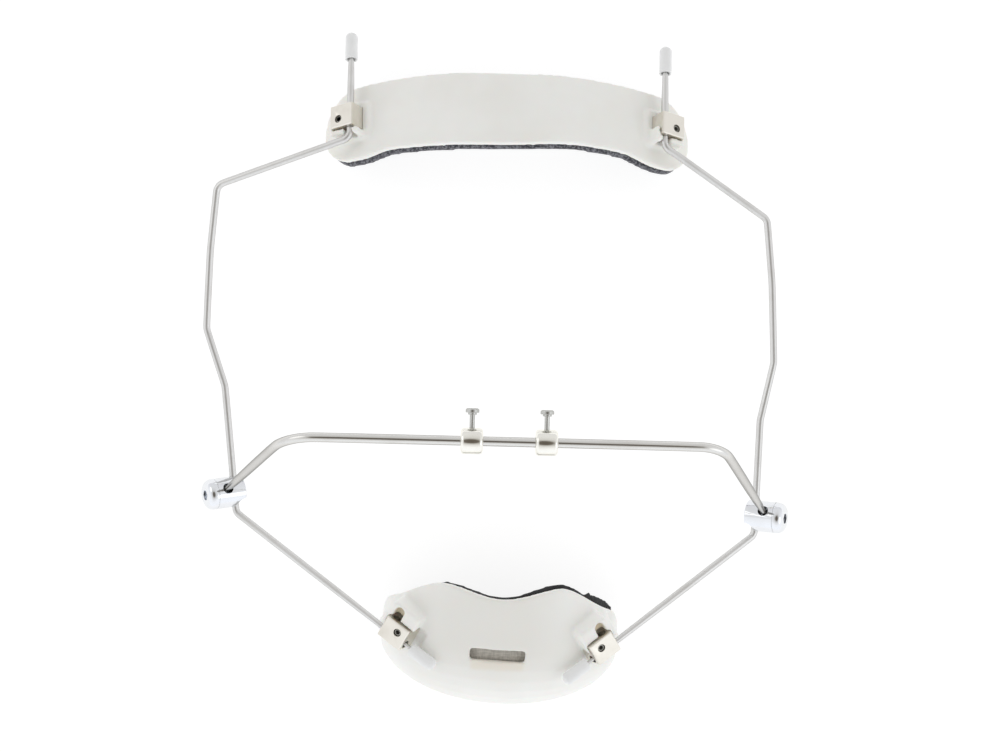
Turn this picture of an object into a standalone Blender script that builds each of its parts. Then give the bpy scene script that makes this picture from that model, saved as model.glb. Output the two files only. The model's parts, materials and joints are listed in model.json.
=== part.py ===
"""Reverse-pull face mask: two padded plastic shells on bent steel side wires.

The mask lies on its back. +X is to the right of the picture, +Y runs from chin to
forehead and +Z points forwards, out of the face. Lengths are in metres.
"""
import math

import bmesh
import bpy
from mathutils import Matrix, Vector

MM = 0.001
SIDES = ("left", "right")
OUTWARD = {"left": -1, "right": 1}

# Moves the whole mask so that the origin is under the middle of its outline at rest
REST_SHIFT = Vector((-0.2, 0.72, -0.48)) * MM

# Clearances between pieces that touch on the real mask
SEAT_GAP = 0.3 * MM
SCREW_GAP = 0.15 * MM

# Side wires: bend points from the forehead down, each with its inside bend radius
WIRE_DIAMETER = 2.5 * MM
STUB_DROP = 8.2 * MM
STUB_LENGTH = {"left": 39.6 * MM, "right": 37.6 * MM}
STUB_SPLAY = {"left": math.radians(2.1), "right": math.radians(0.9)}
STUB_BEND_RADIUS = 3.5 * MM
SIDE_BENDS = {
    "left": (
        ("elbow", (-103.9, 63.1, 11.5), 4.0),
        ("bow", (-105.7, 39.5, 10.5), 90.0),
        ("cheek", (-106.1, 11.0, 10.0), 7.0),
        ("jaw", (-98.5, -9.7, 10.0), 12.0),
        ("lower", (-93.0, -55.5, 8.6), 3.4),
    ),
    "right": (
        ("elbow", (95.8, 58.3, 11.5), 4.0),
        ("bow", (98.7, 35.0, 10.5), 90.0),
        ("cheek", (100.5, 6.5, 10.0), 7.0),
        ("jaw", (96.3, -14.7, 10.0), 12.0),
        ("lower", (96.0, -56.5, 8.6), 3.4),
    ),
}
TEMPLE_BEND = {"right": ((7.4, -4.1, -2.2), 14.0)}
CHIN_TAIL = 16.9 * MM
ARC_STEP = math.radians(11)

# Push-on end caps
CAP_DIAMETER = 4.5 * MM
CAP_LENGTH = 10.5 * MM
CAP_COVER = 9.4 * MM
CAP_TIP_ROUNDNESS = 0.9

# Forehead shell: a band on a cylinder, with rounded ends that hang a little lower
FOREHEAD_CENTRE = Vector((0.4, 91.5, 30.3)) * MM
FOREHEAD_PITCH = math.radians(15)
FOREHEAD_ROLL = math.radians(0.6)
FOREHEAD_RADIUS = 102.0 * MM
FOREHEAD_HALF_LENGTH = 72.5 * MM
FOREHEAD_TOP = 13.6 * MM
FOREHEAD_BOTTOM = 11.7 * MM
FOREHEAD_RISE = 0.6 * MM
FOREHEAD_RISE_END = 24.0 * MM
FOREHEAD_LOBE = 2.5 * MM
FOREHEAD_LOBE_START = 42.0 * MM
FOREHEAD_LOBE_END = 56.0 * MM
FOREHEAD_TOP_RADIUS = 15.5 * MM
FOREHEAD_BOTTOM_RADIUS = 12.2 * MM
FOREHEAD_BLOCK_INSET = 16.2 * MM
FOREHEAD_BLOCK_HEIGHT = 0.2 * MM

# Chin shell: a superelliptic cup with a double-humped upper edge
CHIN_CENTRE = Vector((4.4, -99.9, 31.4)) * MM
CHIN_PITCH = math.radians(6)
CHIN_ROLL = math.radians(-1.9)
CHIN_HALF_WIDTH = 44.0 * MM
CHIN_DEPTH = 28.5 * MM
CHIN_DROP = 24.6 * MM
CHIN_POWER = 2.08
CHIN_SIDE_ANGLE = math.radians(78)
CHIN_EDGE_HEIGHT = 21.3 * MM
CHIN_HUMP_HEIGHT = 3.3 * MM
CHIN_HUMP_PLACE = 22.2 * MM
CHIN_SHOULDER_DROP = 7.0 * MM
CHIN_TOP_TAPER = 0.05
CHIN_CORNER_RADIUS = 4.5 * MM
CHIN_CORNER_START = 0.8
CHIN_BLOCK_INSET = 9.2 * MM
CHIN_BLOCK_HEIGHT = 3.1 * MM
CHIN_BLOCK_YAW = math.radians(30)
SLOT_WIDTH = 19.4 * MM
SLOT_HEIGHT = 4.2 * MM
SLOT_PLACE = -0.4 * MM
SLOT_CORNER = 0.8 * MM

# Walls of both shells and their liners
SHELL_WALL = 2.5 * MM
LINER_WALL = 3.0 * MM
LINER_OVERHANG = {"forehead": 0.3 * MM, "chin": 0.1 * MM}

# Clamp blocks: long side, short side and depth
BLOCK_LONG = 9.6 * MM
BLOCK_SHORT = 8.5 * MM
BLOCK_DEPTH = 9.0 * MM
BLOCK_CHAMFER = 0.3 * MM
BORE_OFFSET = 2.1 * MM
BORE_BEHIND_FACE = 2.8 * MM
SET_SCREW_DIAMETER = 2.6 * MM
SET_SCREW_LENGTH = 5.0 * MM
SET_SCREW_CHAMFER = 0.2 * MM
SET_SCREW_SINK = 0.4 * MM
SET_SCREW_PLACE = Vector((1.2, 1.2)) * MM
SET_SCREW_SOCKET = 1.5 * MM
SET_SCREW_SOCKET_DEPTH = 1.8 * MM

# Moulded bosses that hold the blocks, with a lug wall notched for the wire
BLOCK_PROUD = {"forehead": 6.4 * MM, "chin": 7.2 * MM}
BLOCK_ABOVE_SHELL = 7.8 * MM
BOSS_RIM = 1.9 * MM
BOSS_DRAFT = 2.4 * MM
BOSS_CORNER = 2.4 * MM
BOSS_ROOT = 2.1 * MM
LUG_ROOT = 1.7 * MM
CORE_DEPTH = 6.0 * MM
LUG_BELOW_FACE = 1.0 * MM
LUG_RIM = 0.8 * MM
LUG_LENGTH = {"forehead": 2.2 * MM, "chin": 5.6 * MM}
LUG_ROUNDING = 1.1 * MM
LUG_TOP_ROUNDING = 0.8 * MM
NOTCH_WIDTH = 3.4 * MM
NOTCH_ROUNDNESS = 0.45
NOTCH_LENGTH = {"forehead": 6.0 * MM, "chin": 4.6 * MM}

# Barrels that ride on the side wires and carry the crossbar
BARREL_DIAMETER = 11.3 * MM
BARREL_BODY_LENGTH = 10.4 * MM
BARREL_DOME_LENGTH = 3.1 * MM
BARREL_WIRE_PLACE = 2.6 * MM
BARREL_LEG_PLACE = 6.9 * MM
BARREL_ABOVE_BEND = {"left": 7.7 * MM, "right": 7.1 * MM}
BARREL_YAW = {"left": math.radians(33), "right": math.radians(28)}
BARREL_SCOOP_RADIUS = 3.4 * MM
BARREL_CHAMFER = 0.4 * MM
LEG_HOLE_PAST_AXIS = 3.1 * MM
DOME_SCREW_SHANK_DIAMETER = 5.0 * MM
DOME_SCREW_SOCKET = 3.4 * MM
DOME_SCREW_SOCKET_DEPTH = 2.2 * MM
DOME_FLAT_RADIUS = 3.4 * MM

# Crossbar: legs lean up from the side wires, the bar joins their tops
CROSSBAR_DIAMETER = 3.2 * MM
LEG_LEAN = {"left": math.radians(69.5), "right": math.radians(61.4)}
LEG_LENGTH = {"left": 61.6 * MM, "right": 58.4 * MM}
LEG_BEND_RADIUS = {"left": 18.0 * MM, "right": 13.5 * MM}
LEG_PAST_AXIS = 2.5 * MM

# Hook collars and their mushroom-head screws
COLLAR_DIAMETER = 8.8 * MM
COLLAR_LENGTH = 7.5 * MM
COLLAR_BAND = 5.1 * MM
COLLAR_PLACE = {"left": 61.4 * MM, "right": 86.1 * MM}
HOOK_SHANK_DIAMETER = 1.7 * MM
HOOK_SHANK_SHOWN = 4.3 * MM
HOOK_HEAD_DIAMETER = 4.5 * MM
HOOK_HEAD_HEIGHT = 2.1 * MM
HOOK_HEAD_ROUNDING = 0.45 * MM
HOOK_NECK_DIAMETER = 2.9 * MM
HOOK_NECK_HEIGHT = 0.7 * MM

# Facets round turned pieces and bores
WIRE_BEVEL_RESOLUTION = 4
BORE_SIDES = 20
SMALL_SIDES = 20
FOREHEAD_CELLS = {"shell": (44, 2), "liner": (36, 1)}
CHIN_CELLS = {"shell": (30, 16), "liner": (20, 10)}
BARREL_SIDES = 32
DOME_STEP = math.radians(18)
SMOOTH_ANGLE = math.radians(32)
END_CROWDING = math.radians(84)
INSIDE_END = 0.998

WIRE_RADIUS = WIRE_DIAMETER / 2
WIRE_BORE_RADIUS = WIRE_RADIUS + SEAT_GAP
LEG_RADIUS = CROSSBAR_DIAMETER / 2
LEG_HOLE_RADIUS = LEG_RADIUS + SEAT_GAP
BORE_DEPTH_PLACE = BLOCK_DEPTH / 2 - BORE_BEHIND_FACE
BOSS_TOP = {where: BLOCK_DEPTH / 2 - proud for where, proud in BLOCK_PROUD.items()}
SHELL_FACE = BLOCK_DEPTH / 2 - BLOCK_ABOVE_SHELL
WIRE_STANDOFF = BORE_DEPTH_PLACE - SHELL_FACE


# Scene and materials

for old in list(bpy.data.objects):
    bpy.data.objects.remove(old, do_unlink=True)


def make_material(name, colour, roughness, metallic=0.0):
    material = bpy.data.materials.new(name)
    material.use_nodes = True
    shader = material.node_tree.nodes["Principled BSDF"]
    shader.inputs["Base Color"].default_value = (*colour, 1.0)
    shader.inputs["Roughness"].default_value = roughness
    shader.inputs["Metallic"].default_value = metallic
    return material


IVORY = make_material("ivory_plastic", (0.86, 0.84, 0.78), 0.35)
GREY_FABRIC = make_material("grey_fabric", (0.16, 0.16, 0.17), 0.9)
BLACK_FOAM = make_material("black_foam", (0.03, 0.03, 0.035), 0.9)
STEEL = make_material("drawn_steel", (0.55, 0.54, 0.53), 0.3, 1.0)
NICKEL = make_material("nickel_plate", (0.78, 0.74, 0.68), 0.25, 1.0)
CHROME = make_material("chrome_plate", (0.85, 0.86, 0.88), 0.08, 1.0)
CAP_RUBBER = make_material("cap_rubber", (0.85, 0.87, 0.87), 0.5)

ROOT = bpy.data.objects.new("face_mask_origin", None)
bpy.context.collection.objects.link(ROOT)
ROOT.location = REST_SHIFT


# Modelling helpers

def finish(bm, name, material, frame=None):
    """Turn a bmesh into a smooth-shaded object placed by its frame."""
    mesh = bpy.data.meshes.new(name)
    bm.to_mesh(mesh)
    bm.free()
    mesh.shade_smooth()
    mesh.set_sharp_from_angle(angle=SMOOTH_ANGLE)
    thing = bpy.data.objects.new(name, mesh)
    bpy.context.collection.objects.link(thing)
    thing.parent = ROOT
    thing.matrix_local = frame if frame else Matrix.Identity(4)
    if material:
        mesh.materials.append(material)
    return thing


def tool(bm, name, frame=None):
    """A shape that only cuts or adds to another piece."""
    thing = finish(bm, name, None, frame)
    thing.hide_render = True
    thing.display_type = "WIRE"
    return thing


def combine(target, operation, other):
    step = target.modifiers.new(other.name, "BOOLEAN")
    step.operation = operation
    step.object = other
    step.solver = "EXACT"


def axes_frame(origin, x_axis, z_axis):
    """A frame at origin, z_axis exact and x_axis made square to it."""
    z_axis = z_axis.normalized()
    x_axis = (x_axis - x_axis.dot(z_axis) * z_axis).normalized()
    y_axis = z_axis.cross(x_axis)
    turn = Matrix((x_axis, y_axis, z_axis)).transposed()
    return Matrix.Translation(origin) @ turn.to_4x4()


def along(start, direction):
    """A frame whose +Z runs from start along direction."""
    helper = Vector((1, 0, 0)) if abs(direction.normalized().x) < 0.9 else Vector((0, 1, 0))
    return axes_frame(start, helper, direction)


def rod(radius, low, high, sides):
    """A closed cylinder on the z axis, from low to high."""
    bm = bmesh.new()
    bmesh.ops.create_circle(bm, cap_ends=True, radius=radius, segments=sides)
    bmesh.ops.translate(bm, verts=bm.verts, vec=(0, 0, low))
    grown = bmesh.ops.extrude_face_region(bm, geom=bm.faces[:])
    top = [item for item in grown["geom"] if isinstance(item, bmesh.types.BMVert)]
    bmesh.ops.translate(bm, verts=top, vec=(0, 0, high - low))
    bmesh.ops.recalc_face_normals(bm, faces=bm.faces)
    return bm


def turned(profile, sides):
    """A solid turned from (radius, height) points that start and end on the axis."""
    bm = bmesh.new()
    points = [bm.verts.new((radius, 0, height)) for radius, height in profile]
    for first, second in zip(points, points[1:]):
        bm.edges.new((first, second))
    bmesh.ops.spin(bm, geom=bm.verts[:] + bm.edges[:], cent=(0, 0, 0), axis=(0, 0, 1),
                   angle=math.tau, steps=sides, use_merge=True)
    bmesh.ops.remove_doubles(bm, verts=bm.verts, dist=1e-6)
    bmesh.ops.recalc_face_normals(bm, faces=bm.faces)
    return bm


def rounded_plate(half_x, half_y, low, high, corner, draft=0.0):
    """A plate with round corners; draft widens its lower outline."""
    bm = bmesh.new()
    bmesh.ops.create_grid(bm, x_segments=1, y_segments=1, size=1)
    for vert in bm.verts:
        vert.co = Vector((vert.co.x * half_x, vert.co.y * half_y, high))
    bmesh.ops.bevel(bm, geom=bm.verts[:], offset=corner, offset_type="OFFSET", segments=4,
                    profile=0.5, affect="VERTICES", material=-1)
    grown = bmesh.ops.extrude_face_region(bm, geom=bm.faces[:])
    lower = [item for item in grown["geom"] if isinstance(item, bmesh.types.BMVert)]
    for vert in lower:
        vert.co.x *= 1 + draft / half_x
        vert.co.y *= 1 + draft / half_y
        vert.co.z = low
    bmesh.ops.recalc_face_normals(bm, faces=bm.faces)
    return bm


def chamfered_box(size, chamfer):
    bm = bmesh.new()
    bmesh.ops.create_cube(bm, size=1)
    bmesh.ops.scale(bm, verts=bm.verts, vec=size)
    bmesh.ops.bevel(bm, geom=bm.edges[:], offset=chamfer, segments=1, profile=0.5,
                    affect="EDGES", material=-1)
    return bm


def rounded_route(corners):
    """Points along straight runs joined by arcs; corners are (point, bend radius)."""
    points = [corners[0][0]]
    for (before, _), (corner, radius), (after, _) in zip(corners, corners[1:], corners[2:]):
        into = (corner - before).normalized()
        out = (after - corner).normalized()
        turn = into.angle(out)
        reach = radius * math.tan(turn / 2)
        centre = corner + (out - into).normalized() * radius / math.cos(turn / 2)
        spoke = corner - into * reach - centre
        axis = into.cross(out).normalized()
        steps = max(2, math.ceil(turn / ARC_STEP))
        for step in range(steps + 1):
            points.append(centre + Matrix.Rotation(turn * step / steps, 3, axis) @ spoke)
    points.append(corners[-1][0])
    return points


def bent_rod(name, corners, radius, material):
    """A round rod bent along a route, as a bevelled curve with filled ends."""
    curve = bpy.data.curves.new(name, "CURVE")
    curve.dimensions = "3D"
    curve.bevel_depth = radius
    curve.bevel_resolution = WIRE_BEVEL_RESOLUTION
    curve.use_fill_caps = True
    points = rounded_route(corners)
    spline = curve.splines.new("POLY")
    spline.points.add(len(points) - 1)
    for place, point in zip(spline.points, points):
        place.co = (*point, 1)
    spline.use_smooth = True
    curve.materials.append(material)
    thing = bpy.data.objects.new(name, curve)
    bpy.context.collection.objects.link(thing)
    thing.parent = ROOT
    return thing


# Surfaces of the two shells, as functions of places across and up

def smooth_step(value, low, high):
    share = min(1.0, max(0.0, (value - low) / (high - low)))
    return share * share * (3 - 2 * share)


def forehead_point(across, up):
    """Across is the arc length from the middle, up the height on the band."""
    angle = across / FOREHEAD_RADIUS
    return Vector((FOREHEAD_RADIUS * math.sin(angle), up, FOREHEAD_RADIUS * (math.cos(angle) - 1)))


def corner_trim(place, end, radius):
    """How much a round corner takes off an edge at a place near its end."""
    past = max(0.0, place - (end - radius))
    return radius - math.sqrt(max(0.0, radius ** 2 - past ** 2))


def forehead_edges(across, margin):
    """Lower and upper height of the band at a place across, grown by margin."""
    end = FOREHEAD_HALF_LENGTH + margin
    place = min(abs(across), end)
    lobe = FOREHEAD_LOBE * smooth_step(place, FOREHEAD_LOBE_START, FOREHEAD_LOBE_END)
    rise = FOREHEAD_RISE * smooth_step(place, 0.0, FOREHEAD_RISE_END)
    below = FOREHEAD_BOTTOM + margin + lobe - corner_trim(place, end, FOREHEAD_BOTTOM_RADIUS + margin)
    above = FOREHEAD_TOP + margin - corner_trim(place, end, FOREHEAD_TOP_RADIUS + margin)
    return rise - below, rise + above


def chin_point(angle, fold, edge_share):
    """A point of the cup; fold 0..1 curls below the widest line, edge_share rises above it."""
    power = 2 / CHIN_POWER
    across = math.copysign(abs(math.sin(angle)) ** power, angle) * CHIN_HALF_WIDTH
    reach = math.cos(angle) ** power
    curl = fold * math.pi / 2
    down = CHIN_DROP * reach * math.sin(curl) ** power
    back = CHIN_DEPTH * (1 - reach * max(0.0, math.cos(curl)) ** power)
    past = max(0.0, abs(angle) / CHIN_SIDE_ANGLE - CHIN_CORNER_START) / (1 - CHIN_CORNER_START)
    trim = CHIN_CORNER_RADIUS * (1 - math.sqrt(max(0.0, 1 - past ** 2)))
    up = edge_share * (chin_edge(across) - trim)
    taper = CHIN_TOP_TAPER * (up / CHIN_EDGE_HEIGHT) ** 2
    return Vector((across * (1 - taper), up - down, -back))


def chin_edge(across):
    """Height of the double-humped upper edge above the widest line."""
    place = abs(across) / CHIN_HUMP_PLACE
    hump = CHIN_HUMP_HEIGHT * (0.5 - 0.5 * math.cos(math.pi * min(place, 1.0)))
    shoulder = smooth_step(abs(across), CHIN_HUMP_PLACE, CHIN_HALF_WIDTH * 1.02)
    return CHIN_EDGE_HEIGHT + hump - (CHIN_HUMP_HEIGHT + CHIN_SHOULDER_DROP) * shoulder


def normal_of(surface, u, v):
    """Unit normal of surface(u, v), from small steps either way."""
    step = 1e-3
    along_u = surface(u + step, v) - surface(u - step, v)
    along_v = surface(u, v + step) - surface(u, v - step)
    return along_u.cross(along_v).normalized()


def chin_sheet(u, v):
    """The cup over u across (-1..1) and v up (-1 at the rim, 0 widest, 1 upper edge)."""
    return chin_point(u * CHIN_SIDE_ANGLE, max(0.0, -v), max(0.0, v))


def walled(columns, rows, surface, near, far):
    """A closed wall between two depths under surface(u, v), u and v from -1 to 1."""
    bm = bmesh.new()
    bmesh.ops.create_grid(bm, x_segments=columns, y_segments=rows, size=1)
    grown = bmesh.ops.extrude_face_region(bm, geom=bm.faces[:])
    for vert in [item for item in grown["geom"] if isinstance(item, bmesh.types.BMVert)]:
        vert.co.z = 1
    for vert in bm.verts:
        u, v, layer = vert.co
        depth = far if layer > 0.5 else near
        vert.co = surface(u, v) - normal_of(surface, u, v) * depth
    bmesh.ops.recalc_face_normals(bm, faces=bm.faces)
    return bm


# Frames that place the shells

def forehead_frame():
    forward = Vector((0, math.sin(FOREHEAD_PITCH), math.cos(FOREHEAD_PITCH)))
    across = Vector((math.cos(FOREHEAD_ROLL), math.sin(FOREHEAD_ROLL), 0))
    return axes_frame(FOREHEAD_CENTRE, across, forward)


def chin_frame():
    forward = Vector((0, -math.sin(CHIN_PITCH), math.cos(CHIN_PITCH)))
    across = Vector((math.cos(CHIN_ROLL), math.sin(CHIN_ROLL), 0))
    return axes_frame(CHIN_CENTRE, across, forward)


FOREHEAD = forehead_frame()
CHIN = chin_frame()


# Where the wires pass through the blocks

def stub_direction(side):
    """Up the band's side, splayed a little outwards."""
    splay = STUB_SPLAY[side]
    return FOREHEAD.to_3x3() @ Vector((OUTWARD[side] * math.sin(splay), math.cos(splay), 0))


def forehead_bore(side):
    place = OUTWARD[side] * (FOREHEAD_HALF_LENGTH - FOREHEAD_BLOCK_INSET)
    angle = place / FOREHEAD_RADIUS
    foot = forehead_point(place, FOREHEAD_BLOCK_HEIGHT)
    normal = Vector((math.sin(angle), 0, math.cos(angle)))
    return FOREHEAD @ (foot + normal * WIRE_STANDOFF), FOREHEAD.to_3x3() @ normal


def chin_bore(side):
    place = CHIN_HALF_WIDTH - CHIN_BLOCK_INSET
    share = (place / CHIN_HALF_WIDTH) ** (CHIN_POWER / 2)
    angle = OUTWARD[side] * math.asin(share)
    u = angle / CHIN_SIDE_ANGLE
    v = CHIN_BLOCK_HEIGHT / chin_edge(place)
    normal = Vector((OUTWARD[side] * math.sin(CHIN_BLOCK_YAW), 0, math.cos(CHIN_BLOCK_YAW)))
    return CHIN @ (chin_sheet(u, v) + normal * WIRE_STANDOFF), CHIN.to_3x3() @ normal


def bend_point(side, name):
    for bend, place, _ in SIDE_BENDS[side]:
        if bend == name:
            return Vector(place) * MM


def tail_direction(side):
    return (chin_bore(side)[0] - bend_point(side, "lower")).normalized()


def barrel_direction(side):
    """Up along the straight run that the barrel slides on."""
    return (bend_point(side, "jaw") - bend_point(side, "lower")).normalized()


# Frames of the clamp blocks: x along the long side, y to the lugs, z out of the face

def forehead_block_frame(side):
    bore, normal = forehead_bore(side)
    lugs = -stub_direction(side)
    normal = (normal - normal.dot(lugs) * lugs).normalized()
    across = lugs.cross(normal)
    centre = bore - across * OUTWARD[side] * BORE_OFFSET - normal * BORE_DEPTH_PLACE
    return axes_frame(centre, across, normal)


def chin_block_frame(side):
    bore, normal = chin_bore(side)
    wire = tail_direction(side)
    normal = (normal - normal.dot(wire) * wire).normalized()
    across = -OUTWARD[side] * wire
    lugs = normal.cross(across)
    centre = bore + lugs * BORE_OFFSET - normal * BORE_DEPTH_PLACE
    return axes_frame(centre, across, normal)


BLOCK_FRAMES = {
    "forehead": {side: forehead_block_frame(side) for side in SIDES},
    "chin": {side: chin_block_frame(side) for side in SIDES},
}


# Side wires and their end caps

def side_wire(side):
    bore = forehead_bore(side)[0]
    stub = stub_direction(side)
    corner = bore - stub * STUB_DROP
    tail = tail_direction(side)
    corners = [(corner + stub * STUB_LENGTH[side], 0), (corner, STUB_BEND_RADIUS)]
    if side in TEMPLE_BEND:
        offset, radius = TEMPLE_BEND[side]
        corners.append((corner + Vector(offset) * MM, radius * MM))
    for _, place, radius in SIDE_BENDS[side]:
        corners.append((Vector(place) * MM, radius * MM))
    corners.append((chin_bore(side)[0] + tail * CHIN_TAIL, 0))
    bent_rod(side + "_side_wire", corners, WIRE_RADIUS, STEEL)
    end_cap(side + "_forehead_cap", corners[0][0], stub)
    end_cap(side + "_chin_cap", corners[-1][0], tail)


def end_cap(name, wire_end, direction):
    """A soft sleeve pushed over the wire's end, with a domed tip."""
    outer = CAP_DIAMETER / 2
    inner = WIRE_RADIUS + SEAT_GAP
    tip = SEAT_GAP + CAP_LENGTH - CAP_COVER
    base = tip - CAP_LENGTH
    rise = outer * CAP_TIP_ROUNDNESS
    dome = [(outer * math.cos(step * DOME_STEP), tip - rise * (1 - math.sin(step * DOME_STEP)))
            for step in range(5)]
    profile = [(0, tip), *reversed(dome), (outer, base), (inner, base), (inner, SEAT_GAP), (0, SEAT_GAP)]
    finish(turned(profile, SMALL_SIDES), name, CAP_RUBBER, along(wire_end, direction))


# Shells and liners

def add_bosses(where, shell, surface, cells, frame):
    """Add the bosses and lug walls, trimmed where they would pass the inner face."""
    half_x = BLOCK_LONG / 2 + SEAT_GAP
    half_y = BLOCK_SHORT / 2 + SEAT_GAP
    length = LUG_LENGTH[where]
    lug_top = BLOCK_DEPTH / 2 - LUG_BELOW_FACE
    for side in SIDES:
        name = side + "_" + where
        boss = rounded_plate(half_x + BOSS_RIM, half_y + BOSS_RIM, SHELL_FACE - BOSS_ROOT, BOSS_TOP[where],
                             BOSS_CORNER, BOSS_DRAFT)
        combine(shell, "UNION", tool(boss, name + "_boss", BLOCK_FRAMES[where][side]))
        wall = rounded_plate(half_x + LUG_RIM, length / 2 + BOSS_RIM, SHELL_FACE - LUG_ROOT, lug_top,
                             LUG_ROUNDING)
        rim = [edge for edge in wall.edges if min(vert.co.z for vert in edge.verts) > lug_top - MM / 10]
        bmesh.ops.bevel(wall, geom=rim, offset=LUG_TOP_ROUNDING, segments=2, profile=0.5, affect="EDGES",
                        material=-1)
        bmesh.ops.translate(wall, verts=wall.verts, vec=(0, half_y + length / 2 - BOSS_RIM, 0))
        combine(shell, "UNION", tool(wall, name + "_lug_wall", BLOCK_FRAMES[where][side]))
    core = walled(*cells, surface, SHELL_WALL + SEAT_GAP / 2, SHELL_WALL + CORE_DEPTH)
    combine(shell, "DIFFERENCE", tool(core, where + "_core", frame))


def cut_seats(where, shell):
    """Cut the pocket that each block is nested in and the notch that clears its wire."""
    half_x = BLOCK_LONG / 2 + SEAT_GAP
    half_y = BLOCK_SHORT / 2 + SEAT_GAP
    reach = half_y + NOTCH_LENGTH[where]
    top = BLOCK_DEPTH
    for side in SIDES:
        name = side + "_" + where
        pocket = rounded_plate(half_x, half_y, -BLOCK_DEPTH / 2 - SEAT_GAP, top, BLOCK_CHAMFER)
        combine(shell, "DIFFERENCE", tool(pocket, name + "_pocket", BLOCK_FRAMES[where][side]))
        floor = BOSS_TOP[where] + SEAT_GAP
        notch = rounded_plate(NOTCH_WIDTH / 2, reach / 2, floor, top, NOTCH_WIDTH * NOTCH_ROUNDNESS)
        bmesh.ops.translate(notch, verts=notch.verts, vec=(OUTWARD[side] * BORE_OFFSET, reach / 2, 0))
        combine(shell, "DIFFERENCE", tool(notch, name + "_notch", BLOCK_FRAMES[where][side]))


def forehead_place(margin):
    """Maps the unit grid onto the band, with columns crowded towards the round ends."""
    half = FOREHEAD_HALF_LENGTH + margin

    def place(u, v):
        across = half * math.sin(u * END_CROWDING) / math.sin(END_CROWDING)
        low, high = forehead_edges(across * INSIDE_END, margin)
        return forehead_point(across, low + (v + 1) / 2 * (high - low))
    return place


def forehead_shell():
    cells = FOREHEAD_CELLS["shell"]
    band = walled(*cells, forehead_place(0.0), 0.0, SHELL_WALL)
    shell = finish(band, "forehead_shell", IVORY, FOREHEAD)
    add_bosses("forehead", shell, forehead_place(0.0), cells, FOREHEAD)
    cut_seats("forehead", shell)


def forehead_liner():
    near = SHELL_WALL + SEAT_GAP
    place = forehead_place(LINER_OVERHANG["forehead"])
    band = walled(*FOREHEAD_CELLS["liner"], place, near, near + LINER_WALL)
    finish(band, "forehead_liner", GREY_FABRIC, FOREHEAD)


def chin_shell():
    cells = CHIN_CELLS["shell"]
    shell = finish(walled(*cells, chin_sheet, 0.0, SHELL_WALL), "chin_shell", IVORY, CHIN)
    slot = rounded_plate(SLOT_WIDTH / 2, SLOT_HEIGHT / 2, -SHELL_WALL * 2, SHELL_WALL * 2, SLOT_CORNER)
    bmesh.ops.translate(slot, verts=slot.verts, vec=(SLOT_PLACE, 0, 0))
    combine(shell, "DIFFERENCE", tool(slot, "strap_slot", CHIN))
    add_bosses("chin", shell, chin_sheet, cells, CHIN)
    cut_seats("chin", shell)


def chin_liner():
    near = SHELL_WALL + SEAT_GAP
    share_up = 1 + LINER_OVERHANG["chin"] / CHIN_EDGE_HEIGHT

    def overhanging(u, v):
        return chin_sheet(u, v * share_up if v > 0.99 else v)

    cup = walled(*CHIN_CELLS["liner"], overhanging, near, near + LINER_WALL)
    finish(cup, "chin_liner", BLACK_FOAM, CHIN)


# Clamp blocks and set screws

def clamp_block(where, side):
    frame = BLOCK_FRAMES[where][side]
    name = side + "_" + where
    block = finish(chamfered_box((BLOCK_LONG, BLOCK_SHORT, BLOCK_DEPTH), BLOCK_CHAMFER),
                   name + "_block", NICKEL, frame)
    bore_x = OUTWARD[side] * BORE_OFFSET
    past = BLOCK_LONG
    short_bore = rod(WIRE_BORE_RADIUS, -past, past, BORE_SIDES)
    short_frame = frame @ Matrix.Translation((bore_x, 0, BORE_DEPTH_PLACE)) @ Matrix.Rotation(math.pi / 2, 4, "X")
    combine(block, "DIFFERENCE", tool(short_bore, name + "_short_bore", short_frame))
    if where == "chin":
        long_bore = rod(WIRE_BORE_RADIUS, -past, past, BORE_SIDES)
        long_frame = (frame @ Matrix.Translation((0, -BORE_OFFSET, BORE_DEPTH_PLACE))
                      @ Matrix.Rotation(math.pi / 2, 4, "Y"))
        combine(block, "DIFFERENCE", tool(long_bore, name + "_long_bore", long_frame))

    screw_frame = frame @ Matrix.Translation((-OUTWARD[side] * SET_SCREW_PLACE.x, SET_SCREW_PLACE.y,
                                              BLOCK_DEPTH / 2 - SET_SCREW_SINK))
    hole = rod(SET_SCREW_DIAMETER / 2 + SCREW_GAP, -SET_SCREW_LENGTH - SEAT_GAP, BLOCK_DEPTH, BORE_SIDES)
    combine(block, "DIFFERENCE", tool(hole, name + "_tapped_hole", screw_frame))

    radius = SET_SCREW_DIAMETER / 2
    rim = SET_SCREW_CHAMFER
    point = radius / 2
    profile = [(0, 0), (radius - rim, 0), (radius, -rim), (radius, point - SET_SCREW_LENGTH),
               (point, -SET_SCREW_LENGTH), (0, -SET_SCREW_LENGTH)]
    screw = finish(turned(profile, SMALL_SIDES), name + "_set_screw", STEEL, screw_frame)
    socket = rod(SET_SCREW_SOCKET / math.sqrt(3), -SET_SCREW_SOCKET_DEPTH, SET_SCREW_LENGTH, 6)
    combine(screw, "DIFFERENCE", tool(socket, name + "_socket", screw_frame))


# Barrels, crossbar and hooks

def barrel_axes(side):
    """Where the wire crosses the barrel, with the barrel's, wire's and leg's directions."""
    wire = barrel_direction(side)
    crossing = bend_point(side, "lower") + wire * BARREL_ABOVE_BEND[side]
    yaw = BARREL_YAW[side]
    axis = Vector((OUTWARD[side] * math.cos(yaw), 0, math.sin(yaw)))
    axis = (axis - axis.dot(wire) * wire).normalized()
    forward = axis.cross(wire) * OUTWARD[side]
    leg = wire * math.cos(LEG_LEAN[side]) + forward * math.sin(LEG_LEAN[side])
    return crossing, axis, wire, leg


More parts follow.
